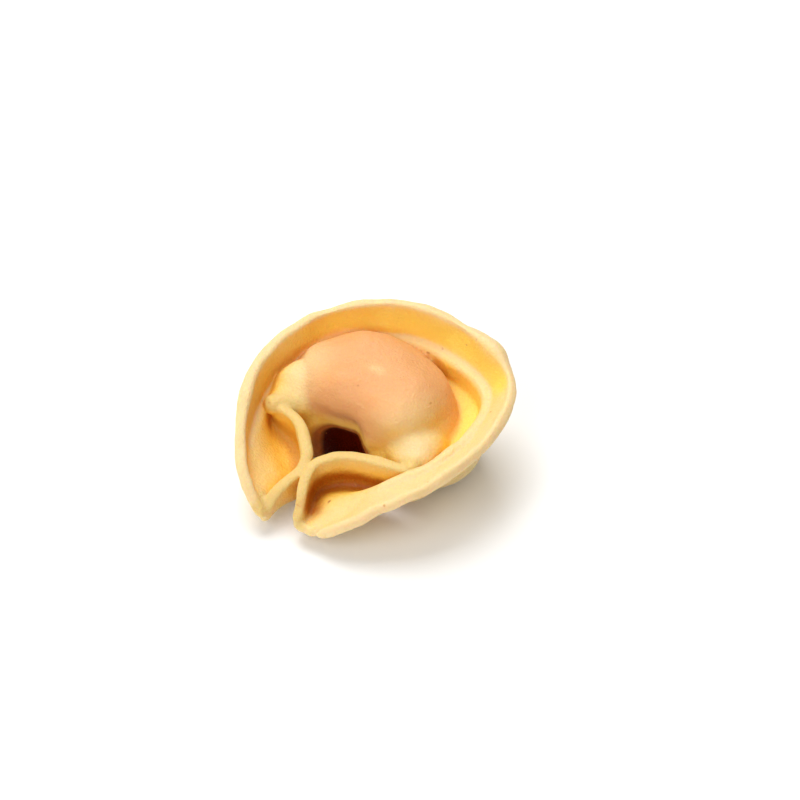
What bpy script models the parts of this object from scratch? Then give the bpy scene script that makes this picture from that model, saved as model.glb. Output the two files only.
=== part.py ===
"""One stuffed pasta ring: a half-moon of dough folded over its filling and bent round
until its two ends touch, with the pressed brim turned up all round like a hat's.

Metres, +Z up.  The two ends meet at the front (-Y); the brim is highest at the back.
Every piece is laid out in millimetres about the upright axis of the bowl that the
brim makes, then moved so that the whole stands on the origin.
"""

import math

import bmesh
import bpy
import numpy as np

# ---------------------------------------------------------------- driving sizes, mm
MM = 0.001
NAME = "tortellino"
SHIFT = (-0.392, -0.703)
SHEET = 1.45                  # two layers of rolled dough pressed together
SHEET_CELLS = (32, 8)         # along the brim, across the sheet
POUCH_CELLS = (36, 16)

# Sheet, station by station round the bowl: bearing (0 is the back, plus is +X), reach of
# the brim's edge, its height, slope of the pressed flange below it, width of the flange,
# height of the trough's floor, how far the trough wall's foot stands in from the fold, and
# how gently the floor climbs to the ridge (0 a steep bank, 1 an even slope).
BRIM = [
    (-160, 16.6, 2.8, 25, 0.8, 1.9, 0.3, 1.0),
    (-148, 16.4, 6.2, 55, 2.6, 2.9, 0.3, 1.0),
    (-130, 15.6, 8.9, 66, 3.8, 3.3, 0.2, 0.8),
    (-112, 15.2, 11.0, 70, 5.2, 3.6, -0.6, 0.4),
    (-80, 15.7, 13.0, 72, 6.2, 4.2, 1.0, 0.0),
    (-50, 16.0, 14.5, 72, 6.2, 4.6, 2.0, 0.0),
    (-15, 16.4, 15.6, 70, 6.2, 4.6, 2.0, 0.0),
    (15, 17.0, 15.4, 62, 6.2, 4.8, 2.0, 0.0),
    (50, 19.0, 13.7, 46, 5.8, 4.8, 2.0, 0.0),
    (78, 16.9, 12.0, 32, 5.2, 4.2, 1.5, 0.0),
    (105, 15.2, 10.4, 22, 4.2, 4.0, 0.0, 0.0),
    (130, 14.6, 8.8, 18, 5.0, 4.2, 0.0, 0.3),
    (142, 14.2, 7.4, 17, 4.3, 4.1, 0.1, 0.7),
    (155, 14.6, 5.6, 15, 3.0, 3.5, 0.3, 1.0),
    (173, 14.8, 2.6, 15, 1.0, 1.9, 0.3, 1.0),
]
# Folded edge, the lip of each wing, from the corner beside the filling to the tip.
LEFT_LIP = [(-12.1, -1.7, 8.6), (-10.4, -2.2, 8.7), (-8.0, -2.9, 8.5), (-6.4, -4.2, 8.3),
            (-5.15, -5.6, 8.05), (-4.4, -7.0, 7.65), (-4.4, -8.6, 7.0), (-5.0, -10.7, 6.2),
            (-5.5, -12.8, 5.0), (-5.9, -14.6, 3.2)]
RIGHT_LIP = [(9.0, -3.5, 8.5), (7.2, -4.1, 8.7), (4.8, -4.4, 8.7), (2.3, -4.8, 8.6),
             (0.2, -5.5, 8.5), (-1.2, -6.6, 8.3), (-2.0, -8.0, 8.0), (-2.1, -9.7, 7.4),
             (-1.9, -11.3, 6.6), (-1.7, -12.7, 5.6), (-1.6, -14.4, 3.6)]
# The fold's hidden run through the filled part, corner to corner.
HIDDEN_FOLD = [(-11.3, 0.8, 6.5), (-8.0, 5.0, 5.5), (-1.0, 7.0, 5.5), (5.0, 5.5, 5.5), (7.6, 1.5, 6.0)]
LEFT_CORNER, RIGHT_CORNER = -100.0, 107.0     # brim bearings that face the two corners
# Radius of the rolled fold at the corner, half way and at the tip of each lip.
LEFT_ROLL = (0.95, 1.12, 1.15)
RIGHT_ROLL = (0.95, 1.32, 1.20)
SHELF = 1.15                  # level shoulder where the pressed flange meets the trough
SHELF_TILT = math.radians(18)

# Filled pouch about its own middle: bearing, reach, height of its widest line, width of
# its foot as a share of the reach, and undercut (0 round belly, 1 hanging over the hole).
POUCH_MIDDLE = (-1.0, 4.8)
POUCH_TOP = 13.9
POUCH_SHOULDER = (0.60, 0.86)  # how full its shoulder is: shape of the way in and of the way up
POUCH = [
    (-152, 4.6, 6.4, 0.60, 0.9), (-132, 6.6, 6.6, 0.70, 0.8), (-117, 10.0, 6.8, 0.70, 0.6),
    (-104, 11.8, 7.0, 0.60, 0.3), (-88, 12.9, 7.4, 0.55, 0.0), (-74, 13.1, 7.6, 0.55, 0.0),
    (-55, 11.6, 7.6, 0.60, 0.0), (-30, 11.0, 7.0, 0.62, 0.0), (0, 9.7, 6.6, 0.62, 0.0),
    (25, 8.9, 6.3, 0.65, 0.0), (50, 9.6, 6.0, 0.70, 0.0), (75, 11.0, 6.0, 0.75, 0.0),
    (95, 11.5, 6.2, 0.75, 0.0), (118, 9.7, 6.8, 0.75, 0.3), (140, 7.5, 6.6, 0.70, 0.7),
    (160, 6.3, 6.2, 0.65, 0.9), (180, 4.2, 6.2, 0.62, 0.9),
]
# Ears, the tapering ends of the filled part: centre, half width, half height.
LEFT_EAR = [((-8.6, 4.9, 6.4), 4.4, 4.8), ((-10.8, 1.9, 6.6), 3.6, 4.2),
            ((-11.6, -0.1, 7.0), 2.8, 3.0), ((-12.3, -1.7, 8.0), 1.2, 1.1)]
RIGHT_EAR = [((4.5, 4.6, 5.8), 4.6, 4.8), ((7.6, 1.2, 6.5), 3.7, 3.4),
             ((8.5, -1.4, 7.4), 2.3, 2.4), ((8.9, -3.2, 8.3), 0.8, 0.85)]
# Low round pieces of the pouch: centre and half sizes.
BELLY = ((5.2, 5.6, 4.2), (8.1, 8.3, 4.6))
UNDER_LOBE = ((-8.0, 2.8, 2.6), (3.5, 3.3, 4.6))


# ---------------------------------------------------------------- curves and sections
def smooth_through(knots, rows, t):
    """Smooth curve through rows, one for each knot, read at the values t."""
    knots = np.asarray(knots, float)
    rows = np.asarray(rows, float)
    t = np.asarray(t, float)
    gaps = np.diff(knots)
    rise = np.diff(rows, axis=0) / gaps[:, None]
    slope = np.empty_like(rows)
    slope[1:-1] = (rise[:-1] * gaps[1:, None] + rise[1:] * gaps[:-1, None]) / (gaps[:-1] + gaps[1:])[:, None]
    slope[0] = rise[0]
    slope[-1] = rise[-1]
    i = np.clip(np.searchsorted(knots, t, side="right") - 1, 0, len(knots) - 2)
    h = gaps[i][..., None]
    s = np.clip((t - knots[i])[..., None] / h, 0.0, 1.0)
    a = 2 * s**3 - 3 * s**2 + 1
    b = s**3 - 2 * s**2 + s
    c = s**3 - s**2
    return a * rows[i] + b * h * slope[i] + (1 - a) * rows[i + 1] + c * h * slope[i + 1]


def along(points, t):
    """Smooth curve through points, read at shares t of its length."""
    points = np.asarray(points, float)
    runs = np.linalg.norm(np.diff(points[:, :3], axis=0), axis=1)
    knots = np.concatenate([[0.0], np.cumsum(runs)]) / runs.sum()
    return smooth_through(knots, points, t)


def polar(bearing, reach, height):
    a = np.radians(bearing)
    return np.stack([reach * np.sin(a), reach * np.cos(a), height], axis=-1)


def fold_line(bearing):
    """The folded edge, read at the brim bearing that it faces."""
    first, last = BRIM[0][0], BRIM[-1][0]
    if bearing <= LEFT_CORNER:
        return along(LEFT_LIP, ((LEFT_CORNER - bearing) / (LEFT_CORNER - first)) ** 0.9)
    if bearing >= RIGHT_CORNER:
        return along(RIGHT_LIP, ((bearing - RIGHT_CORNER) / (last - RIGHT_CORNER)) ** 0.9)
    inner = [LEFT_LIP[0]] + HIDDEN_FOLD + [RIGHT_LIP[0]]
    return along(inner, (bearing - LEFT_CORNER) / (RIGHT_CORNER - LEFT_CORNER))


def sheet_point(bearing, v):
    """Middle of the sheet at a brim bearing; v runs 0 at the fold to 1 at the cut edge."""
    table = np.array(BRIM, float)
    reach, height, slope, width, floor, foot, ease = smooth_through(table[:, 0], table[:, 1:], bearing)
    slope = math.radians(slope)
    edge = polar(bearing, reach, height)
    ridge = polar(bearing, reach - width * math.cos(slope), max(height - width * math.sin(slope), floor + 0.2))
    fold = fold_line(bearing)
    flat = ridge - fold
    flat[2] = 0.0
    span = np.linalg.norm(flat)
    out = flat / span
    shoulder = min(SHELF, 0.35 * width)
    shelf = ridge + polar(bearing, shoulder * math.cos(SHELF_TILT), shoulder * math.sin(SHELF_TILT))
    moat = ridge - out * min(0.7, 0.14 * span) * (1 - ease) - out * 0.70 * span * ease
    moat[2] = floor + 0.16 * (ridge[2] - floor)
    base = fold + out * foot
    base[2] = floor
    wall = fold + out * foot * 0.75
    wall[2] = floor + 0.45 * (fold[2] - floor)
    middle = 0.45 * base + 0.55 * moat
    middle[2] = floor
    flange = 0.5 * (shelf + edge) + polar(bearing, 0.05 * width, 0.0)
    rails = [fold, wall, base, middle, moat, ridge, shelf, flange, edge]
    return smooth_through(np.linspace(0.0, 1.0, len(rails)), rails, v)


def pouch_point(bearing, lift):
    """Pouch surface; lift is 1 at the top, 0 at the widest line and -1 at the ground."""
    table = np.array(POUCH, float)
    turn = np.array([360.0, 0, 0, 0, 0])
    table = np.vstack([table[-3:] - turn, table, table[:3] + turn])
    reach, widest, foot, undercut = smooth_through(table[:, 0], table[:, 1:], bearing)
    if lift >= 0:
        angle = lift * math.pi / 2
        rise = (POUCH_TOP - widest) * math.sin(angle) ** POUCH_SHOULDER[1]
        p = polar(bearing, reach * math.cos(angle) ** POUCH_SHOULDER[0], widest + rise)
    else:
        t = min(-lift / 0.85, 1.0)
        round_side = 1 - (1 - foot) * t**2.4
        cut_side = 1 - (1 - foot) * (1 - (1 - t) ** 2.2)
        share = round_side * (1 - undercut) + cut_side * undercut
        close = 1.0 if -lift <= 0.85 else (1 + lift) / 0.15
        p = polar(bearing, reach * share * close, widest * (1 - t) - 0.6 * (1 - close))
    p[0] += POUCH_MIDDLE[0]
    p[1] += POUCH_MIDDLE[1]
    return p


def ear_point(ear, t, turn):
    """Surface of a tapering ear; t runs 0 to 1 along it and turn goes once round it."""
    spine = [list(c) + [w, h] for c, w, h in ear]
    s = min(max((t - 0.06) / 0.88, 0.0), 1.0)
    here = along(spine, s)
    step = along(spine, min(s + 0.02, 1.0)) - along(spine, max(s - 0.02, 0.0))
    ahead = step[:3] / np.linalg.norm(step[:3])
    side = np.cross(ahead, (0.0, 0.0, 1.0))
    side /= np.linalg.norm(side)
    up = np.cross(side, ahead)
    over = max(0.06 - t, 0.0, t - 0.94) / 0.06
    ring = math.sqrt(max(1 - over * over, 0.0))
    push = (over if t > 0.5 else -over) * here[3]
    return here[:3] + ahead * push + ring * (side * math.cos(turn) * here[3] + up * math.sin(turn) * here[4])


# ---------------------------------------------------------------- building
def clear_scene():
    for ob in list(bpy.data.objects):
        bpy.data.objects.remove(ob, do_unlink=True)


def collection(name):
    col = bpy.data.collections.get(name) or bpy.data.collections.new(name)
    if name not in bpy.context.scene.collection.children:
        bpy.context.scene.collection.children.link(col)
    return col


def make(name, bm, col):
    mesh = bpy.data.meshes.new(name)
    bm.to_mesh(mesh)
    bm.free()
    mesh.shade_smooth()
    ob = bpy.data.objects.new(name, mesh)
    col.objects.link(ob)
    return ob


def place(vert, p):
    vert.co = ((p[0] + SHIFT[0]) * MM, (p[1] + SHIFT[1]) * MM, p[2] * MM)


def sheet(col):
    """The bent half-moon of dough: a grid laid along the brim, thickened and smoothed."""
    bm = bmesh.new()
    bmesh.ops.create_grid(bm, x_segments=SHEET_CELLS[0], y_segments=SHEET_CELLS[1], size=0.5)
    first, last = BRIM[0][0], BRIM[-1][0]
    for vert in bm.verts:
        u, v = vert.co.x + 0.5, vert.co.y + 0.5
        place(vert, sheet_point(first + (last - first) * u, v))
    ob = make(NAME, bm, col)
    solid = ob.modifiers.new("Dough", "SOLIDIFY")
    solid.thickness = SHEET * MM
    solid.offset = 0.0
    solid.edge_crease_inner = 0.75
    solid.edge_crease_outer = 0.75
    smooth = ob.modifiers.new("Smooth", "SUBSURF")
    smooth.levels = 1
    smooth.render_levels = 1
    return ob


def ball(name, col, cells, shape):
    """A UV sphere whose surface is put where shape(bearing, lift) says."""
    bm = bmesh.new()
    bmesh.ops.create_uvsphere(bm, u_segments=cells[0], v_segments=cells[1], radius=1.0)
    for vert in bm.verts:
        lift = math.asin(max(-1.0, min(1.0, vert.co.z))) / (math.pi / 2)
        place(vert, shape(math.degrees(math.atan2(vert.co.x, vert.co.y)), lift))
    if bm.calc_volume(signed=True) < 0:
        bmesh.ops.reverse_faces(bm, faces=bm.faces)
    ob = make(name, bm, col)
    ob.hide_render = True
    ob.display_type = "WIRE"
    return ob


def round_piece(sizes):
    centre, half = sizes
    c, h = np.array(centre), np.array(half)

    def shape(bearing, lift):
        angle = lift * math.pi / 2
        return c + h * polar(bearing, math.cos(angle), math.sin(angle))

    return shape


def ear_piece(ear):
    return lambda bearing, lift: ear_point(ear, (1 - lift) / 2, math.radians(bearing))


def roll_piece(lip, radii):
    """The fat roll of a folded edge, hung just under its fold line."""
    spine = []
    for share, (x, y, z) in zip(np.linspace(0.0, 1.0, len(lip)), lip):
        r = float(smooth_through([0.0, 0.5, 1.0], [[value] for value in radii], share)[0])
        spine.append(((x, y, z - r), r, r))
    return ear_piece(spine)


def join(ob, other, operation="UNION"):
    cut = ob.modifiers.new(other.name, "BOOLEAN")
    cut.operation = operation
    cut.solver = "EXACT"
    cut.object = other


def floor_block(col):
    """Everything below the ground, taken away to leave the flat spots it rests on."""
    bm = bmesh.new()
    bmesh.ops.create_cube(bm, size=1.0)
    for vert in bm.verts:
        vert.co = (vert.co.x * 0.06, vert.co.y * 0.06, (vert.co.z - 0.5) * 0.01)
    ob = make("ground_cut", bm, col)
    ob.hide_render = True
    ob.display_type = "WIRE"
    return ob


def dough_material():
    mat = bpy.data.materials.new("egg_dough")
    mat.use_nodes = True
    shader = mat.node_tree.nodes["Principled BSDF"]
    shader.inputs["Base Color"].default_value = (0.82, 0.56, 0.22, 1.0)
    shader.inputs["Roughness"].default_value = 0.55
    shader.inputs["Metallic"].default_value = 0.0
    mat.diffuse_color = (0.82, 0.56, 0.22, 1.0)
    return mat


def build():
    clear_scene()
    whole = collection(NAME)
    inner = collection("joined_shapes")
    pasta = sheet(whole)
    pasta.data.materials.append(dough_material())
    join(pasta, ball("pouch", inner, POUCH_CELLS, pouch_point))
    join(pasta, ball("belly", inner, (28, 10), round_piece(BELLY)))
    join(pasta, ball("under_lobe", inner, (16, 8), round_piece(UNDER_LOBE)))
    join(pasta, ball("left_ear", inner, (14, 14), ear_piece(LEFT_EAR)))
    join(pasta, ball("right_ear", inner, (14, 14), ear_piece(RIGHT_EAR)))
    join(pasta, ball("left_roll", inner, (10, 20), roll_piece(LEFT_LIP[1:-2], LEFT_ROLL)))
    join(pasta, ball("right_roll", inner, (10, 22), roll_piece(RIGHT_LIP, RIGHT_ROLL)))
    join(pasta, floor_block(inner), "DIFFERENCE")


build()
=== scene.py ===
"""Looks of one stuffed pasta ring: a half-moon of egg dough folded over a meat filling.

The dough is one skin.  Its parts (the bent sheet, the filled pouch, the two ears) are laid
out in millimetres from the same named sizes as the CAD solid, fused, softened where wet
dough runs together, and then given the waviness and grain of hand-rolled dough.
"""

import math

import bmesh
import bpy
import numpy as np
from mathutils import Matrix, Vector
from mathutils.kdtree import KDTree


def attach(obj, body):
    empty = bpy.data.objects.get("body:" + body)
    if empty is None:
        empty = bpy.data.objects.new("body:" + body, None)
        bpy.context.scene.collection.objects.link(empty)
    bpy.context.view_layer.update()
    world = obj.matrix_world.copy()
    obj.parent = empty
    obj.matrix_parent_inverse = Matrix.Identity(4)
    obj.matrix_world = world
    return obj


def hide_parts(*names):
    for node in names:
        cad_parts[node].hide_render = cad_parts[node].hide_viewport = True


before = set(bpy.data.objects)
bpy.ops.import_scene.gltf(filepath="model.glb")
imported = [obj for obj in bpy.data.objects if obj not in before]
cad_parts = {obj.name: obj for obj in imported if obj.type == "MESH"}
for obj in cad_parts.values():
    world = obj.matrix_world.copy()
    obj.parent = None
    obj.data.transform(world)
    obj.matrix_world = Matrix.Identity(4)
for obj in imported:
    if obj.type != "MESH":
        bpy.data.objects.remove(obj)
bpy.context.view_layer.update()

# ---------------------------------------------------------------- sizes, mm
MM = 0.001
SHIFT = (-0.392, -0.703)
SHEET = 1.45                  # two layers of rolled dough pressed together
STATIONS = 300                # sections of the sheet along the brim
VOXEL = 0.165                 # grain of the fused skin
SKIN_TRIANGLES = 190000

# Sheet, station by station round the bowl: bearing (0 is the back, plus is +X), reach of
# the brim's edge, its height, slope of the pressed flange below it, width of the flange,
# height of the trough's floor, how far the trough wall's foot stands in from the fold, and
# how gently the floor climbs to the ridge (0 a steep bank, 1 an even slope).
BRIM = [
    (-160, 16.6, 2.8, 25, 0.8, 1.4, 0.3, 1.0),
    (-148, 16.4, 6.2, 55, 2.6, 2.0, 0.3, 1.0),
    (-130, 15.6, 8.9, 66, 3.8, 2.5, 0.2, 0.8),
    (-112, 15.2, 11.0, 70, 5.2, 3.4, -0.6, 0.4),
    (-80, 15.7, 13.0, 72, 6.2, 6.0, 1.0, 0.0),
    (-50, 16.0, 14.5, 72, 6.2, 7.0, 2.0, 0.0),
    (-15, 16.4, 15.6, 70, 6.2, 7.4, 2.0, 0.0),
    (15, 17.0, 15.4, 62, 6.0, 7.6, 2.0, 0.0),
    (50, 19.0, 13.7, 46, 5.5, 7.2, 2.0, 0.0),
    (78, 16.9, 12.0, 32, 4.8, 6.6, 1.5, 0.0),
    (105, 15.2, 10.4, 22, 4.2, 4.6, 0.0, 0.0),
    (130, 14.6, 8.8, 18, 4.9, 3.2, 0.0, 0.3),
    (142, 14.2, 7.4, 17, 4.3, 2.9, 0.1, 0.8),
    (155, 14.6, 5.6, 15, 3.0, 2.5, 0.3, 1.0),
    (173, 14.8, 2.6, 15, 1.0, 1.5, 0.3, 1.0),
]
# Folded edge, the lip of each wing, from the corner beside the filling to the tip.
LEFT_LIP = [(-12.1, -1.7, 8.6), (-10.4, -2.2, 8.7), (-8.0, -2.9, 8.5), (-6.4, -4.2, 8.3),
            (-5.15, -5.6, 8.05), (-4.05, -7.0, 7.65), (-3.86, -8.6, 7.0), (-4.65, -10.7, 6.2),
            (-5.5, -12.8, 5.0), (-5.9, -14.6, 3.2)]
RIGHT_LIP = [(9.0, -3.5, 8.5), (7.2, -4.1, 8.7), (4.8, -4.4, 8.7), (2.3, -4.8, 8.6),
             (0.2, -5.5, 8.5), (-1.2, -6.6, 8.3), (-2.3, -8.0, 8.0), (-2.54, -9.7, 7.4),
             (-2.2, -11.3, 6.6), (-1.7, -12.7, 5.6), (-1.6, -14.4, 3.6)]
# The fold's hidden run through the filled part, corner to corner.
HIDDEN_FOLD = [(-11.3, 0.8, 6.5), (-8.0, 5.0, 5.5), (-1.0, 7.0, 5.5), (5.0, 5.5, 5.5), (7.6, 1.5, 6.0)]
LEFT_CORNER, RIGHT_CORNER = -100.0, 107.0     # brim bearings that face the two corners
EDGE_CORNER = 0.50            # rounding of the brim's cut edge
EDGE_WANDER = 0.22            # how far the cut edge strays up and down
WALL = 1.15                   # the single wall between a lip and the trough's floor
SHELF = 1.15                  # level shoulder where the pressed flange meets the trough
SHELF_TILT = math.radians(18)
SHELF_BACK = 0.35             # share of the shoulder that its inner edge stands back
SHELF_LIP = 0.12              # how much the inner edge is raised over the outer
TIP_ROUND = 0.9               # rounding of the sheet's two ends
# Rolled lips: radius of the roll at brim bearings, on the left wing and on the right.
LIP_BEARINGS = [(-160, -150, -135, -115, -102, -92), (95, 105, 120, 135, 155, 173)]
LIP_RADII = [(1.35, 1.35, 1.40, 1.35, 1.25, 1.05), (0.95, 1.30, 1.65, 1.60, 1.30, 1.2)]

# Filled pouch about its own middle: bearing, reach, height of its widest line, width of
# its foot as a share of the reach, and undercut (0 round belly, 1 hanging over the hole).
POUCH_MIDDLE = (-1.0, 4.8)
POUCH_TOP = 13.9
POUCH_SHOULDER = (0.60, 0.86)  # how full its shoulder is: shape of the way in and of the way up
POUCH_BLUR = 40.0             # degrees over which the outline's dents fade towards the top
POUCH = [
    (-152, 4.6, 6.4, 0.60, 0.9), (-132, 6.6, 6.6, 0.70, 0.8), (-117, 10.0, 6.8, 0.70, 0.6),
    (-104, 11.8, 7.0, 0.60, 0.3), (-88, 12.9, 7.4, 0.55, 0.0), (-74, 13.1, 7.6, 0.55, 0.0),
    (-55, 11.6, 7.6, 0.60, 0.0), (-30, 11.0, 7.0, 0.62, 0.0), (0, 9.7, 6.6, 0.62, 0.0),
    (25, 8.9, 6.3, 0.65, 0.0), (50, 9.6, 6.0, 0.70, 0.0), (75, 11.0, 6.0, 0.75, 0.0),
    (95, 11.5, 6.2, 0.75, 0.0), (118, 9.7, 6.8, 0.75, 0.3), (140, 7.5, 6.6, 0.70, 0.7),
    (160, 6.3, 6.2, 0.65, 0.9), (180, 4.2, 6.2, 0.62, 0.9),
]
# Ears, the tapering ends of the filled part: centre, half width, half height.
LEFT_EAR = [((-9.2, 4.9, 6.8), 4.3, 4.2), ((-10.7, 2.0, 7.0), 4.0, 4.2),
            ((-11.4, 0.0, 7.3), 3.1, 3.0), ((-12.1, -1.6, 7.9), 1.4, 1.3)]
RIGHT_EAR = [((3.8, 4.2, 5.8), 5.4, 4.9), ((7.0, 1.2, 6.5), 4.3, 3.6),
             ((8.2, -1.4, 7.3), 2.8, 2.4), ((8.8, -3.2, 8.2), 1.0, 0.95)]
# Low round pieces of the pouch: centre and half sizes.
BELLY = ((5.2, 5.6, 4.2), (8.1, 8.3, 4.6))
UNDER_LOBE = ((-8.3, 2.5, 2.8), (3.6, 4.4, 4.7))
TIP_CORNER = ((0.1, -14.0, 2.5), (1.8, 0.75, 0.85))
HOLE_MIDDLE = (-2.0, 0.5)    # where the ring's hole goes down


# ---------------------------------------------------------------- curves and noise
def smooth_through(knots, rows, t):
    """Smooth curve through rows, one for each knot, read at the values t."""
    knots = np.asarray(knots, float)
    rows = np.asarray(rows, float)
    t = np.asarray(t, float)
    gaps = np.diff(knots)
    rise = np.diff(rows, axis=0) / gaps[:, None]
    slope = np.empty_like(rows)
    slope[1:-1] = (rise[:-1] * gaps[1:, None] + rise[1:] * gaps[:-1, None]) / (gaps[:-1] + gaps[1:])[:, None]
    slope[0] = rise[0]
    slope[-1] = rise[-1]
    i = np.clip(np.searchsorted(knots, t, side="right") - 1, 0, len(knots) - 2)
    h = gaps[i][..., None]
    s = np.clip((t - knots[i])[..., None] / h, 0.0, 1.0)
    a = 2 * s**3 - 3 * s**2 + 1
    b = s**3 - 2 * s**2 + s
    c = s**3 - s**2
    return a * rows[i] + b * h * slope[i] + (1 - a) * rows[i + 1] + c * h * slope[i + 1]


def along(points, t):
    """Smooth curve through points, read at shares t of its length."""
    points = np.asarray(points, float)
    runs = np.linalg.norm(np.diff(points[:, :3], axis=0), axis=1)
    knots = np.concatenate([[0.0], np.cumsum(runs)]) / runs.sum()
    return smooth_through(knots, points, t)


def polar(bearing, reach, height):
    a = np.radians(bearing)
    return np.stack(np.broadcast_arrays(reach * np.sin(a), reach * np.cos(a), height), axis=-1)


def step(low, high, x):
    """Smooth rise from 0 at low to 1 at high."""
    t = np.clip((x - low) / (high - low), 0.0, 1.0)
    return t * t * (3 - 2 * t)


def lumps(points, size, seed):
    """Soft noise from -1 to 1 at points, in lumps of about that size in mm."""
    table = np.random.default_rng(seed).uniform(-1.0, 1.0, (32, 32, 32))
    q = np.asarray(points, float) / size
    cell = np.floor(q).astype(int)
    f = q - cell
    f = f * f * (3 - 2 * f)
    total = 0.0
    for corner in np.ndindex(2, 2, 2):
        i = (cell + corner) % 32
        weight = np.prod(np.where(corner, f, 1 - f), axis=-1)
        total = total + weight * table[i[..., 0], i[..., 1], i[..., 2]]
    return total


# ---------------------------------------------------------------- the sheet
def fold_line(bearing):
    """The folded edge, read at the brim bearing that it faces."""
    first, last = BRIM[0][0], BRIM[-1][0]
    if bearing <= LEFT_CORNER:
        return along(LEFT_LIP, ((LEFT_CORNER - bearing) / (LEFT_CORNER - first)) ** 0.9)
    if bearing >= RIGHT_CORNER:
        return along(RIGHT_LIP, ((bearing - RIGHT_CORNER) / (last - RIGHT_CORNER)) ** 0.9)
    inner = [LEFT_LIP[0]] + HIDDEN_FOLD + [RIGHT_LIP[0]]
    return along(inner, (bearing - LEFT_CORNER) / (RIGHT_CORNER - LEFT_CORNER))


def sheet_rails(bearing):
    """Points of the sheet's middle at a brim bearing, from the fold out to the cut edge."""
    table = np.array(BRIM, float)
    reach, height, slope, width, floor, foot, ease = smooth_through(table[:, 0], table[:, 1:], bearing)
    slope = math.radians(slope)
    edge = polar(bearing, reach, height)
    shoulder = min(SHELF, 0.35 * width)
    inner = reach - width * math.cos(slope)
    ridge = polar(bearing, inner, max(height - width * math.sin(slope), floor + 0.2))
    shelf = ridge + polar(bearing, shoulder * math.cos(SHELF_TILT), shoulder * math.sin(SHELF_TILT))
    crest = polar(bearing, SHELF_BACK * shoulder, 0.0)
    crest[2] = shelf[2] + SHELF_LIP - ridge[2]
    ridge += crest * (1 - 0.7 * ease)
    fold = fold_line(bearing)
    flat = ridge - fold
    flat[2] = 0.0
    span = np.linalg.norm(flat)
    out = flat / span
    deep = ridge[2] - floor
    drop = ridge - out * min(0.05, 0.01 * span) * (1 - ease) - out * 0.30 * span * ease
    drop[2] = floor + 0.66 * deep
    moat = ridge - out * min(0.5, 0.1 * span) * (1 - ease) - out * 0.70 * span * ease
    moat[2] = floor + 0.16 * deep
    base = fold + out * foot
    base[2] = floor
    wall = fold + out * foot * 0.75
    wall[2] = floor + 0.45 * (fold[2] - floor)
    neck = fold + out * foot * 0.3
    neck[2] = fold[2] - 0.25 * (fold[2] - floor)
    middle = 0.45 * base + 0.55 * moat
    middle[2] = floor
    flange = 0.5 * (shelf + edge) + polar(bearing, 1.0, 0.0) * 0.05 * width
    return [fold, neck, wall, base, middle, moat, drop, ridge, shelf, flange, edge]


RAIL_KNOTS = [0.0, 0.06, 0.15, 0.28, 0.40, 0.50, 0.58, 0.64, 0.71, 0.85, 1.0]
RIDGE_AT = RAIL_KNOTS[7]


def edge_rounding(distance, half, corner):
    """Half thickness at a distance from an edge whose corners are rounded by corner."""
    s = np.clip(distance / corner, 0.0, 1.0)
    return half - corner + corner * np.sqrt(1 - (1 - s) ** 2)


def lip_radius(bearings):
    """Radius of the rolled fold, which is fattest in the middle of each wing's lip."""
    left = smooth_through(LIP_BEARINGS[0], [[r] for r in LIP_RADII[0]], bearings)[:, 0]
    right = smooth_through(LIP_BEARINGS[1], [[r] for r in LIP_RADII[1]], bearings)[:, 0]
    return np.where(bearings < 0, left, right)


def sheet_middle(bearings, v, wander):
    """The sheet's middle surface and its normals, which point into the bowl."""
    middle = np.array([smooth_through(RAIL_KNOTS, sheet_rails(b), v) for b in bearings])
    middle[..., 2] += wander
    du = np.gradient(middle, axis=0)
    dv = np.gradient(middle, axis=1)
    normal = np.cross(dv, du)
    return middle, normal / np.linalg.norm(normal, axis=-1, keepdims=True)


def sheet_solid():
    """The bent half-moon as a closed skin: a top and an underside round its middle."""
    first, last = BRIM[0][0], BRIM[-1][0]
    bearings = np.linspace(first, last, STATIONS)
    ends = 0.5 - 0.5 * np.cos(np.linspace(0, math.pi, 25))
    v = np.unique(np.concatenate([ends * 0.16, np.linspace(0.16, 0.92, 65), 0.92 + ends * 0.08]))
    wander = lumps(np.stack([bearings / 9.0, bearings * 0, bearings * 0], axis=-1), 1.0, 5)
    wander = EDGE_WANDER * wander[:, None] * step(RIDGE_AT, 1.0, v)
    middle, normal = sheet_middle(bearings, v, wander)
    runs = np.linalg.norm(np.diff(middle, axis=1), axis=-1)
    from_fold = np.concatenate([np.zeros((STATIONS, 1)), np.cumsum(runs, axis=1)], axis=1)
    from_edge = from_fold[:, -1:] - from_fold
    steps = np.linalg.norm(np.diff(middle[:, len(v) // 3], axis=0), axis=-1)
    from_tip = np.concatenate([[0.0], np.cumsum(steps)])
    from_tip = np.minimum(from_tip, from_tip[-1] - from_tip)[:, None]
    half = SHEET / 2
    radius = lip_radius(bearings)[:, None]
    roll = np.sqrt(np.maximum(radius**2 - (radius - from_fold) ** 2, 0.0)) * (from_fold < 2 * radius)
    lip = np.where(from_fold < radius, roll, np.maximum(roll, WALL / 2))
    rest = WALL / 2 + (half - WALL / 2) * step(RAIL_KNOTS[3], RAIL_KNOTS[6], v)
    thick = np.where(from_fold < radius, lip, np.maximum(lip, rest))
    thick = np.minimum(thick, edge_rounding(from_edge, half, EDGE_CORNER))
    thick = thick * np.sqrt(1 - (1 - np.clip(from_tip / TIP_ROUND, 0.0, 1.0)) ** 2)
    top = middle + normal * thick[..., None]
    under = middle - normal * thick[..., None]
    loops = np.concatenate([top, under[:, ::-1]], axis=1)
    return loops, len(v)


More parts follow.
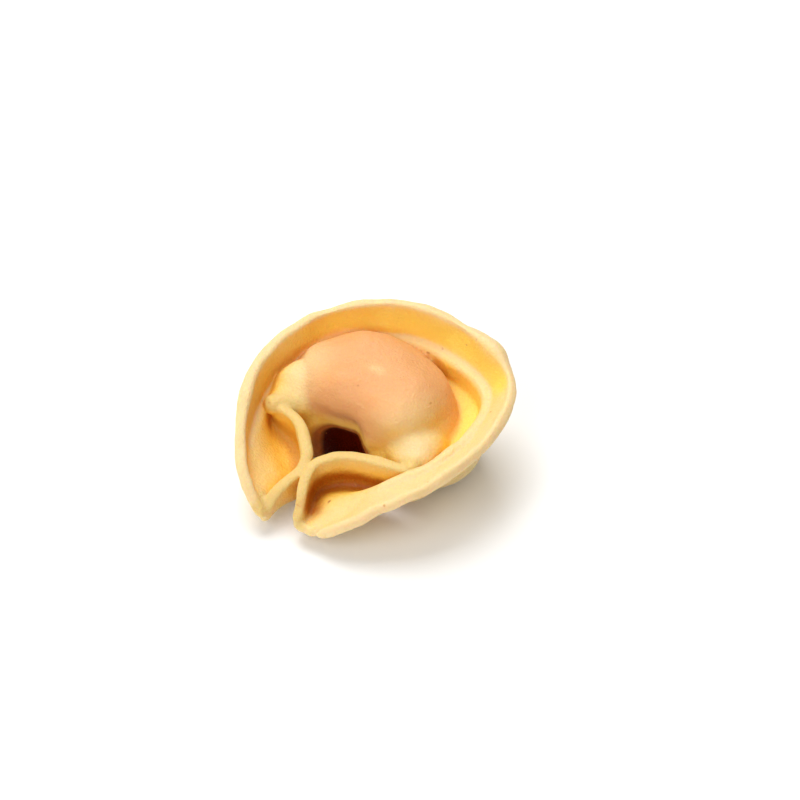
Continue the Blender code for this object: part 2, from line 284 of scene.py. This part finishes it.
def sheet_piece():
    loops, across = sheet_solid()
    bm = bmesh.new()
    rows = [[bm.verts.new(p * MM) for p in loop] for loop in loops]
    size = len(rows[0])
    for near, far in zip(rows, rows[1:]):
        for j in range(size):
            k = (j + 1) % size
            bm.faces.new((near[j], near[k], far[k], far[j]))
    for row in (rows[0], rows[-1]):
        for j in range(across - 1):
            bm.faces.new((row[j], row[j + 1], row[size - 2 - j], row[size - 1 - j]))
    return bm


# ---------------------------------------------------------------- pouch and ears
def pouch_outline(bearing):
    """Reach, height of the widest line, foot and undercut of the pouch at a bearing."""
    table = np.array(POUCH, float)
    turn = np.array([360.0, 0, 0, 0, 0])
    table = np.vstack([table[-3:] - turn, table, table[:3] + turn])
    bearing = (np.asarray(bearing, float) + 180.0) % 360.0 - 180.0
    return smooth_through(table[:, 0], table[:, 1:], bearing).T


def pouch_points(bearing, lift):
    """Pouch surface; lift is 1 at the top, 0 at the widest line and -1 at the ground."""
    reach, widest, foot, undercut = pouch_outline(bearing)
    spread = np.linspace(-POUCH_BLUR, POUCH_BLUR, 9)
    calm = np.mean([pouch_outline(bearing + turn)[0] for turn in spread], axis=0)
    reach = reach + (calm - reach) * step(0.0, 0.3, lift)
    angle = np.maximum(lift, 0.0) * math.pi / 2
    rise = (POUCH_TOP - widest) * np.sin(angle) ** POUCH_SHOULDER[1]
    upper = polar(bearing, reach * np.cos(angle) ** POUCH_SHOULDER[0], widest + rise)
    t = np.minimum(-np.minimum(lift, 0.0) / 0.85, 1.0)
    round_side = 1 - (1 - foot) * t**2.4
    cut_side = 1 - (1 - foot) * (1 - (1 - t) ** 2.2)
    share = round_side * (1 - undercut) + cut_side * undercut
    close = np.where(-lift <= 0.85, 1.0, (1 + lift) / 0.15)
    lower = polar(bearing, reach * share * close, widest * (1 - t) - 0.6 * (1 - close))
    p = np.where((lift >= 0)[:, None], upper, lower)
    return p + np.array([POUCH_MIDDLE[0], POUCH_MIDDLE[1], 0.0])


def ear_points(ear, t, turn):
    """Surface of a tapering ear; t runs 0 to 1 along it and turn goes once round it."""
    spine = [list(c) + [w, h] for c, w, h in ear]
    s = np.clip((t - 0.06) / 0.88, 0.0, 1.0)
    here = along(spine, s)
    ahead = (along(spine, np.minimum(s + 0.02, 1.0)) - along(spine, np.maximum(s - 0.02, 0.0)))[:, :3]
    ahead /= np.linalg.norm(ahead, axis=1, keepdims=True)
    side = np.cross(ahead, (0.0, 0.0, 1.0))
    side /= np.linalg.norm(side, axis=1, keepdims=True)
    up = np.cross(side, ahead)
    over = np.maximum(np.maximum(0.06 - t, 0.0), t - 0.94) / 0.06
    ring = np.sqrt(np.maximum(1 - over * over, 0.0))
    push = np.where(t > 0.5, over, -over) * here[:, 3]
    wide = (ring * np.cos(turn) * here[:, 3])[:, None]
    tall = (ring * np.sin(turn) * here[:, 4])[:, None]
    return here[:, :3] + ahead * push[:, None] + side * wide + up * tall


def ball(cells, shape):
    """A UV sphere whose surface is put where shape(bearing, lift) says."""
    bm = bmesh.new()
    bmesh.ops.create_uvsphere(bm, u_segments=cells[0], v_segments=cells[1], radius=1.0)
    co = np.array([v.co for v in bm.verts])
    lift = np.arcsin(np.clip(co[:, 2], -1.0, 1.0)) / (math.pi / 2)
    bearing = np.degrees(np.arctan2(co[:, 0], co[:, 1]))
    for vert, p in zip(bm.verts, shape(bearing, lift)):
        vert.co = p * MM
    if bm.calc_volume(signed=True) < 0:
        bmesh.ops.reverse_faces(bm, faces=bm.faces)
    return bm


def round_piece(sizes):
    centre, half = np.array(sizes[0]), np.array(sizes[1])

    def shape(bearing, lift):
        angle = lift * math.pi / 2
        return centre + half * polar(bearing, np.cos(angle), np.sin(angle))

    return shape


def ear_piece(ear):
    return lambda bearing, lift: ear_points(ear, (1 - lift) / 2, np.radians(bearing))


# ---------------------------------------------------------------- fusing and softening
def fused_mesh(pieces):
    """One closed skin round all the pieces."""
    whole = bmesh.new()
    for bm in pieces:
        mesh = bpy.data.meshes.new("piece")
        bm.to_mesh(mesh)
        bm.free()
        whole.from_mesh(mesh)
        bpy.data.meshes.remove(mesh)
    bmesh.ops.remove_doubles(whole, verts=whole.verts, dist=1e-7)
    mesh = bpy.data.meshes.new("fused")
    whole.to_mesh(mesh)
    whole.free()
    ob = bpy.data.objects.new("fused", mesh)
    bpy.context.scene.collection.objects.link(ob)
    remesh = ob.modifiers.new("Fuse", "REMESH")
    remesh.mode = "VOXEL"
    remesh.voxel_size = VOXEL * MM
    graph = bpy.context.evaluated_depsgraph_get()
    skin = bpy.data.meshes.new_from_object(ob.evaluated_get(graph))
    bpy.data.objects.remove(ob, do_unlink=True)
    return skin


def read_points(mesh):
    co = np.empty(len(mesh.vertices) * 3)
    mesh.vertices.foreach_get("co", co)
    return co.reshape(-1, 3) / MM


def write_points(mesh, points):
    mesh.vertices.foreach_set("co", (points * MM).ravel())
    mesh.update()


def read_normals(mesh):
    no = np.empty(len(mesh.vertices) * 3)
    mesh.vertex_normals.foreach_get("vector", no)
    return no.reshape(-1, 3)


class Neighbours:
    """Averages over each vertex's neighbours."""

    def __init__(self, mesh):
        edges = np.empty(len(mesh.edges) * 2, dtype=np.int64)
        mesh.edges.foreach_get("vertices", edges)
        a, b = edges.reshape(-1, 2).T
        self.to = np.concatenate([a, b])
        self.of = np.concatenate([b, a])
        self.count = len(mesh.vertices)
        self.degree = np.bincount(self.to, minlength=self.count)

    def mean(self, values):
        if values.ndim == 1:
            return np.bincount(self.to, values[self.of], self.count) / self.degree
        return np.stack([self.mean(column) for column in values.T], axis=-1)

    def soften(self, values, rounds, weight=1.0):
        w = np.asarray(weight, float)
        if values.ndim == 2 and w.ndim == 1:
            w = w[:, None]
        for _ in range(rounds):
            values = values + 0.6 * w * (self.mean(values) - values)
        return values


def nearness(points, centre, reach):
    """1 at a centre, falling smoothly to 0 at reach."""
    far = np.linalg.norm(points - np.array(centre), axis=1)
    return 1 - step(0.0, reach, far)


def distance_to(points, targets):
    tree = KDTree(len(targets))
    for i, p in enumerate(targets):
        tree.insert(p, i)
    tree.balance()
    return np.array([tree.find(p)[2] for p in points])


def sheet_lines():
    """Points along the cut edge and along both wings' folds."""
    bearings = np.linspace(BRIM[0][0], BRIM[-1][0], 400)
    rails = [sheet_rails(b) for b in bearings]
    brim = np.array([r[-1] for r in rails])
    folds = np.array([r[0] for b, r in zip(bearings, rails) if b < LEFT_CORNER or b > RIGHT_CORNER])
    return brim, folds


def dough_skin():
    pouch = ball((144, 96), pouch_points)
    pieces = [
        sheet_piece(),
        pouch,
        ball((72, 40), round_piece(BELLY)),
        ball((48, 32), round_piece(UNDER_LOBE)),
        ball((32, 24), round_piece(TIP_CORNER)),
        ball((64, 64), ear_piece(LEFT_EAR)),
        ball((64, 64), ear_piece(RIGHT_EAR)),
    ]
    mesh = fused_mesh(pieces)
    near = Neighbours(mesh)
    points = near.soften(read_points(mesh), 3)
    wet = np.maximum(nearness(points, (7.0, 0.6, 8.5), 5.0), nearness(points, (-10.6, 1.6, 9.0), 4.0))
    points = near.soften(points, 60, wet)
    brim, folds = sheet_lines()
    under = (1 - step(4.5, 7.0, points[:, 2])) * step(1.2, 2.4, distance_to(points, np.concatenate([brim, folds])))
    points = near.soften(points, 70, under)
    write_points(mesh, points)
    bearing, lift = np.meshgrid(np.arange(0.0, 360.0, 2.0) - 180.0, np.linspace(0.0, 1.0, 60))
    filling = 1 - step(0.15, 0.50, distance_to(points, pouch_points(bearing.ravel(), lift.ravel())))
    filling = filling * step(6.0, 8.5, points[:, 2])
    down = 1 - step(0.0, 0.4, near.soften(read_normals(mesh), 4)[:, 2])
    filling = filling * (1 - down * step(3.0, 7.0, points[:, 1]))
    filling = filling * (1 - nearness(points, (8.5, -0.5, 8.5), 9.0) ** 0.7)
    set_attribute(mesh, "filling", near.soften(filling, 14))
    normals = near.soften(read_normals(mesh), 6)
    pouch_top = step(9.0, 12.0, points[:, 2])
    swell = 0.55 * lumps(points, 5.0, 11) * pouch_top + 0.14 * lumps(points, 2.3, 12) + 0.035 * lumps(points, 0.9, 13)
    swell = swell + 0.012 * lumps(points, 0.42, 14)
    points = points + normals * swell[:, None]
    points[:, 2] = np.maximum(points[:, 2], 0.0)
    write_points(mesh, points)
    return mesh


def set_attribute(mesh, name, values):
    attribute = mesh.attributes.new(name, "FLOAT", "POINT")
    attribute.data.foreach_set("value", values.astype(np.float32))


def tint_attributes(mesh):
    """Marks for painted light and shade: painted pale light on the cut edge, the crest and the ears, a painted glow
    where light would shine through the thin flange, the painted shadow under the lips and the painted deep shade in
    the ring's hole; also where the lips are rolled.
    """
    points = read_points(mesh)
    brim, lips = sheet_lines()
    normals = read_normals(mesh)
    ways = points * (1.0, 1.0, 0.0)
    ways = ways / np.maximum(np.linalg.norm(ways, axis=1, keepdims=True), 1.0)
    facing = step(-0.1, 0.4, 0.7 * normals[:, 2] - 0.7 * np.sum(normals * ways, axis=1))
    cut = 1 - step(0.65, 1.15, distance_to(points, brim))
    near = Neighbours(mesh)
    # Painted shade: marks the skin low down round the ring's hole, to be painted dark for the deep shade inside it.
    from_hole = np.linalg.norm(points[:, :2] - np.array(HOLE_MIDDLE), axis=1)
    painted_hole_shade = (1 - step(2.4, 7.0, from_hole)) * (1 - step(4.6, 6.6, points[:, 2]))
    # Painted light: the flange's and the moat's inner faces are marked for a brighter yellow, standing in for light
    # shining through the thin dough.
    flange = np.array([sheet_rails(b)[-2] for b in np.linspace(-70.0, 48.0, 300)])
    thin = 1 - step(0.9, 2.6, distance_to(points, flange))
    moat = np.concatenate([sheet_rails(b)[4:7] for b in np.linspace(10.0, 100.0, 150)])
    thin = np.maximum(thin, 1 - step(0.8, 1.8, distance_to(points, moat)))
    crest = np.array([0.5 * (sheet_rails(b)[7] + sheet_rails(b)[8]) for b in np.linspace(-125.0, 135.0, 400)])
    crest = 1 - step(0.7, 1.2, distance_to(points, crest))
    bearing = np.degrees(np.arctan2(points[:, 0], points[:, 1]))
    thin = thin * facing * step(-90.0, -50.0, bearing) * (1 - step(70.0, 112.0, bearing))
    set_attribute(mesh, "thin", near.soften(np.maximum(thin - crest, 0.0), 12))
    rolled = (1 - step(1.2, 2.0, distance_to(points, lips))) * step(-0.2, 0.3, normals[:, 2])
    set_attribute(mesh, "rolled", near.soften(rolled, 6))
    # Painted light: the cut edge, the shelf's crest and the ears are marked to be painted pale, as where they face up
    # into the light.
    painted_ear_light = np.maximum(nearness(points, (-10.2, 3.4, 10.0), 6.0), nearness(points, (8.4, -1.6, 9.5), 5.0))
    set_attribute(mesh, "painted_pale_light", np.maximum(np.maximum(cut, 0.8 * crest), 0.9 * painted_ear_light))
    # Painted shadow: the trough's floor and wall just under each lip's roll are marked to be painted dark brown, for
    # the shade under the lip.
    folds = [b for b in np.linspace(-158.0, 170.0, 400) if b < -104 or b > 110]
    folds = [b for b in folds if -138 < b < 160]
    feet = []
    for b in folds:
        rails = sheet_rails(b)
        out = (rails[7] - rails[0]) * (1.0, 1.0, 0.0)
        feet += [rails[3] + 0.7 * out / np.linalg.norm(out), rails[2] + 0.9 * out / np.linalg.norm(out)]
    painted_lip_shadow = 1 - step(0.8, 2.2, distance_to(points, feet))
    painted_lip_shadow = painted_lip_shadow * step(1.4, 2.6, points[:, 2]) * (1 - step(5.4, 6.8, points[:, 2]))
    painted_lip_shadow = painted_lip_shadow * (0.45 + 0.55 * step(-4.0, -2.5, points[:, 0]))
    set_attribute(mesh, "painted_lip_shadow", near.soften(painted_lip_shadow, 6))
    set_attribute(mesh, "painted_hole_shade", painted_hole_shade)


# ---------------------------------------------------------------- materials
def node(tree, kind, **inputs):
    made = tree.nodes.new(kind)
    for name, value in inputs.items():
        made.inputs[name].default_value = value
    return made


def mix_colours(tree, factor, a, b, blend="MIX"):
    mix = tree.nodes.new("ShaderNodeMix")
    mix.data_type = "RGBA"
    mix.blend_type = blend
    for socket, value in ((0, factor), (6, a), (7, b)):
        if isinstance(value, bpy.types.NodeSocket):
            tree.links.new(value, mix.inputs[socket])
        else:
            mix.inputs[socket].default_value = value
    return mix.outputs[2]


def ramp(tree, value, low, high):
    """A socket that climbs from 0 to 1 while the value goes from low to high."""
    span = tree.nodes.new("ShaderNodeMapRange")
    span.inputs["From Min"].default_value = low
    span.inputs["From Max"].default_value = high
    tree.links.new(value, span.inputs["Value"])
    return span.outputs["Result"]


def linear(red, green, blue):
    """A colour given as it looks on screen, 0 to 255."""
    def one(x):
        x /= 255
        return x / 12.92 if x <= 0.04045 else ((x + 0.055) / 1.055) ** 2.4
    return (one(red), one(green), one(blue), 1.0)


def dough_material():
    mat = bpy.data.materials.new("egg_dough_skin")
    mat.use_nodes = True
    tree = mat.node_tree
    shader = tree.nodes["Principled BSDF"]
    shader.inputs["Roughness"].default_value = 0.48
    shader.inputs["Specular IOR Level"].default_value = 0.35
    shader.inputs["Subsurface Weight"].default_value = 0.55
    shader.inputs["Subsurface Radius"].default_value = (1.0, 0.6, 0.25)
    shader.inputs["Subsurface Scale"].default_value = 0.0016
    place = tree.nodes.new("ShaderNodeTexCoord").outputs["Object"]
    filling = tree.nodes.new("ShaderNodeAttribute")
    filling.attribute_name = "filling"
    cut = tree.nodes.new("ShaderNodeAttribute")
    cut.attribute_name = "painted_pale_light"
    grain = node(tree, "ShaderNodeTexNoise", Scale=3000.0, Detail=3.0)
    tree.links.new(place, grain.inputs["Vector"])
    cloud = node(tree, "ShaderNodeTexNoise", Scale=260.0, Detail=3.0)
    tree.links.new(place, cloud.inputs["Vector"])
    # Painted shade: where the occlusion node finds the skin sheltered, the dough is painted amber, and dark orange
    # deep in recesses, standing in for shade and the orange light bounced round hollows.
    shade_occlusion = node(tree, "ShaderNodeAmbientOcclusion", Distance=0.009)
    shade_occlusion.only_local = True
    shade_occlusion.samples = 8
    unshaded_share = ramp(tree, shade_occlusion.outputs["AO"], 0.40, 0.97)
    painted_deep_shade = ramp(tree, shade_occlusion.outputs["AO"], 0.03, 0.36)
    # Painted light: brighter yellow where light would shine through the thin flange and the moat.
    thin = tree.nodes.new("ShaderNodeAttribute")
    thin.attribute_name = "thin"
    pale = mix_colours(tree, cloud.outputs["Fac"], (0.80, 0.585, 0.25, 1.0), (0.84, 0.635, 0.30, 1.0))
    # Painted shade: amber in sheltered places, the pale dough in the open.
    dough = mix_colours(tree, unshaded_share, (0.96, 0.58, 0.07, 1.0), pale)
    dough = mix_colours(tree, thin.outputs["Fac"], dough, (0.98, 0.66, 0.11, 1.0))
    dough = mix_colours(tree, filling.outputs["Fac"], dough, (0.78, 0.38, 0.145, 1.0))
    # Painted light: pale on the cut edge, the shelf's crest and the ears.
    dough = mix_colours(tree, cut.outputs["Fac"], dough, (0.83, 0.62, 0.31, 1.0))
    rolled = tree.nodes.new("ShaderNodeAttribute")
    rolled.attribute_name = "rolled"
    dough = mix_colours(tree, rolled.outputs["Fac"], dough, (0.72, 0.515, 0.18, 1.0))
    painted_lip_shadow = tree.nodes.new("ShaderNodeAttribute")
    painted_lip_shadow.attribute_name = "painted_lip_shadow"
    # Painted shade: dark orange in the deepest recesses.
    dough = mix_colours(tree, painted_deep_shade, (0.70, 0.28, 0.02, 1.0), dough)
    # Painted shadow: dark brown under the lip rolls.
    dough = mix_colours(tree, painted_lip_shadow.outputs["Fac"], dough, (0.46, 0.12, 0.002, 1.0))
    # Painted shade: the skin low in the ring's hole is painted dark brown, then near black, for the deep shade there.
    painted_hole_shade = tree.nodes.new("ShaderNodeAttribute")
    painted_hole_shade.attribute_name = "painted_hole_shade"
    hole_shade_brown = ramp(tree, painted_hole_shade.outputs["Fac"], 0.10, 0.45)
    hole_shade_black = ramp(tree, painted_hole_shade.outputs["Fac"], 0.62, 0.80)
    dough = mix_colours(tree, hole_shade_brown, dough, (0.42, 0.13, 0.02, 1.0))
    dough = mix_colours(tree, hole_shade_black, dough, (0.06, 0.004, 0.0, 1.0))
    # The painted hole shade also takes the gloss off the skin there.
    gloss = node(tree, "ShaderNodeMath")
    gloss.operation = "MULTIPLY_ADD"
    gloss.inputs[1].default_value = -0.35
    gloss.inputs[2].default_value = 0.35
    tree.links.new(painted_hole_shade.outputs["Fac"], gloss.inputs[0])
    tree.links.new(gloss.outputs["Value"], shader.inputs["Specular IOR Level"])
    dough = mix_colours(tree, 0.18, dough, grain.outputs["Color"], "SOFT_LIGHT")
    spots = node(tree, "ShaderNodeTexNoise", Scale=1100.0, Detail=0.0)
    tree.links.new(place, spots.inputs["Vector"])
    dough = mix_colours(tree, ramp(tree, spots.outputs["Fac"], 0.82, 0.92), dough, (0.50, 0.20, 0.05, 1.0))
    tree.links.new(dough, shader.inputs["Base Color"])
    bump = node(tree, "ShaderNodeBump", Strength=0.7, Distance=0.0002)
    tree.links.new(grain.outputs["Fac"], bump.inputs["Height"])
    tree.links.new(bump.outputs["Normal"], shader.inputs["Normal"])
    return mat


# ---------------------------------------------------------------- the piece
def tortellino():
    mesh = dough_skin()
    ob = bpy.data.objects.new("tortellino_skin", mesh)
    bpy.context.scene.collection.objects.link(ob)
    triangles = sum(len(p.vertices) - 2 for p in mesh.polygons)
    if triangles > SKIN_TRIANGLES:
        thin = ob.modifiers.new("Thin", "DECIMATE")
        thin.ratio = SKIN_TRIANGLES / triangles
        graph = bpy.context.evaluated_depsgraph_get()
        lighter = bpy.data.meshes.new_from_object(ob.evaluated_get(graph))
        ob.modifiers.clear()
        ob.data = lighter
    tint_attributes(ob.data)
    ob.data.transform(Matrix.Translation((SHIFT[0] * MM, SHIFT[1] * MM, 0.0)))
    ob.data.shade_smooth()
    ob.data.materials.clear()
    ob.data.materials.append(dough_material())
    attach(ob, "root")
    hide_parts("tortellino")
    return ob


# ---------------------------------------------------------------- floor, light, camera
def studio_floor():
    bpy.ops.mesh.primitive_plane_add(size=3.0, location=(0.0, 0.0, 0.0))
    floor = bpy.context.object
    floor.name = "studio_floor"
    mat = bpy.data.materials.new("white_floor")
    mat.use_nodes = True
    shader = mat.node_tree.nodes["Principled BSDF"]
    shader.inputs["Base Color"].default_value = (0.97, 0.97, 0.965, 1.0)
    shader.inputs["Roughness"].default_value = 0.6
    shader.inputs["Specular IOR Level"].default_value = 0.2
    floor.data.materials.append(mat)


def soft_box(name, size, power, place, aim=(0.0, 0.0, 0.006), colour=(1.0, 1.0, 1.0)):
    light = bpy.data.lights.new(name, "AREA")
    light.size = size
    light.energy = power
    light.color = colour
    ob = bpy.data.objects.new(name, light)
    ob.location = place
    ob.rotation_euler = (Vector(aim) - Vector(place)).to_track_quat("-Z", "Y").to_euler()
    bpy.context.scene.collection.objects.link(ob)


def studio_light():
    world = bpy.data.worlds.new("soft_white")
    world.use_nodes = True
    world.node_tree.nodes["Background"].inputs["Color"].default_value = (1.0, 1.0, 1.0, 1.0)
    world.node_tree.nodes["Background"].inputs["Strength"].default_value = 0.39
    bpy.context.scene.world = world
    soft_box("key", 0.32, 1.6, (-0.14, 0.12, 0.40))
    soft_box("fill", 0.28, 0.75, (-0.04, -0.30, 0.26))
    bpy.context.scene.view_settings.view_transform = "Standard"


# Camera: bearing, height angle, lens and distance, and where its middle meets the floor.
CAMERA_TURN, CAMERA_LIFT = math.radians(30.0), math.radians(43.0)
CAMERA_LENS = 150.0
CAMERA_DISTANCE = 433.0
FLOOR_AIM = (3.25, 10.5)                # right and forward of the bowl's axis, mm
AIM_ORIGIN = (0.6, -3.6)


def camera():
    turn, lift = CAMERA_TURN, CAMERA_LIFT
    right = Vector((math.cos(turn), math.sin(turn), 0.0))
    ahead = Vector((-math.sin(turn), math.cos(turn), 0.0))
    aim = right * FLOOR_AIM[0] + ahead * FLOOR_AIM[1]
    aim += Vector((SHIFT[0] - AIM_ORIGIN[0], SHIFT[1] - AIM_ORIGIN[1], 0.0))
    back = Vector((math.sin(turn) * math.cos(lift), -math.cos(turn) * math.cos(lift), math.sin(lift)))
    data = bpy.data.cameras.new("camera")
    data.lens = CAMERA_LENS
    data.clip_start = 0.01
    data.clip_end = 10.0
    ob = bpy.data.objects.new("camera", data)
    ob.location = (aim + back * CAMERA_DISTANCE) * MM
    ob.rotation_euler = (-back).to_track_quat("-Z", "Y").to_euler()
    bpy.context.scene.collection.objects.link(ob)
    bpy.context.scene.camera = ob


camera()
tortellino()
studio_floor()
studio_light()

bpy.context.view_layer.update()
